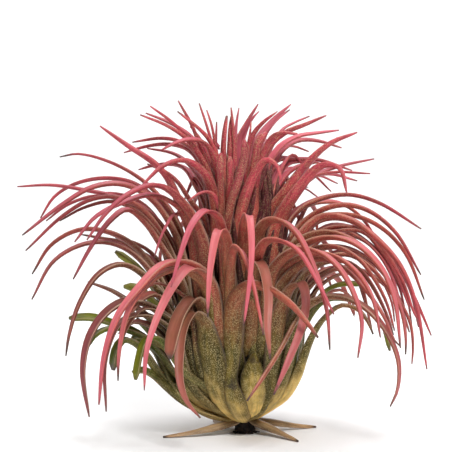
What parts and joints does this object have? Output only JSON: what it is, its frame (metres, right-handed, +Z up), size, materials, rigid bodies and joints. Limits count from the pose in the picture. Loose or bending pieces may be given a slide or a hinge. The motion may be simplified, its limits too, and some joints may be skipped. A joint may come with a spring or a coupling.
{
  "type": "sky plant",
  "caption": "Air plant rosette of narrow pink and olive leaves that arch out and droop from a short stem, on a broken stub of black roots.",
  "frame": {"origin": "middle of the flat spot under the roots, on the surface the plant rests on", "axes": "+Z up along the stem, -Y towards the front that the picture shows, +X to its right"},
  "size_m": [0.1586, 0.1196, 0.1249],
  "materials": {
    "leaf": "living leaf: smooth coral-pink upper faces, brown to olive lower faces with silver scales, yellow feet",
    "root": "dead black wiry roots, rough"
  },
  "bodies": {
    "root": {"leaf_rosette": "leaf", "root_stub": "root"}
  },
  "joints": []
}
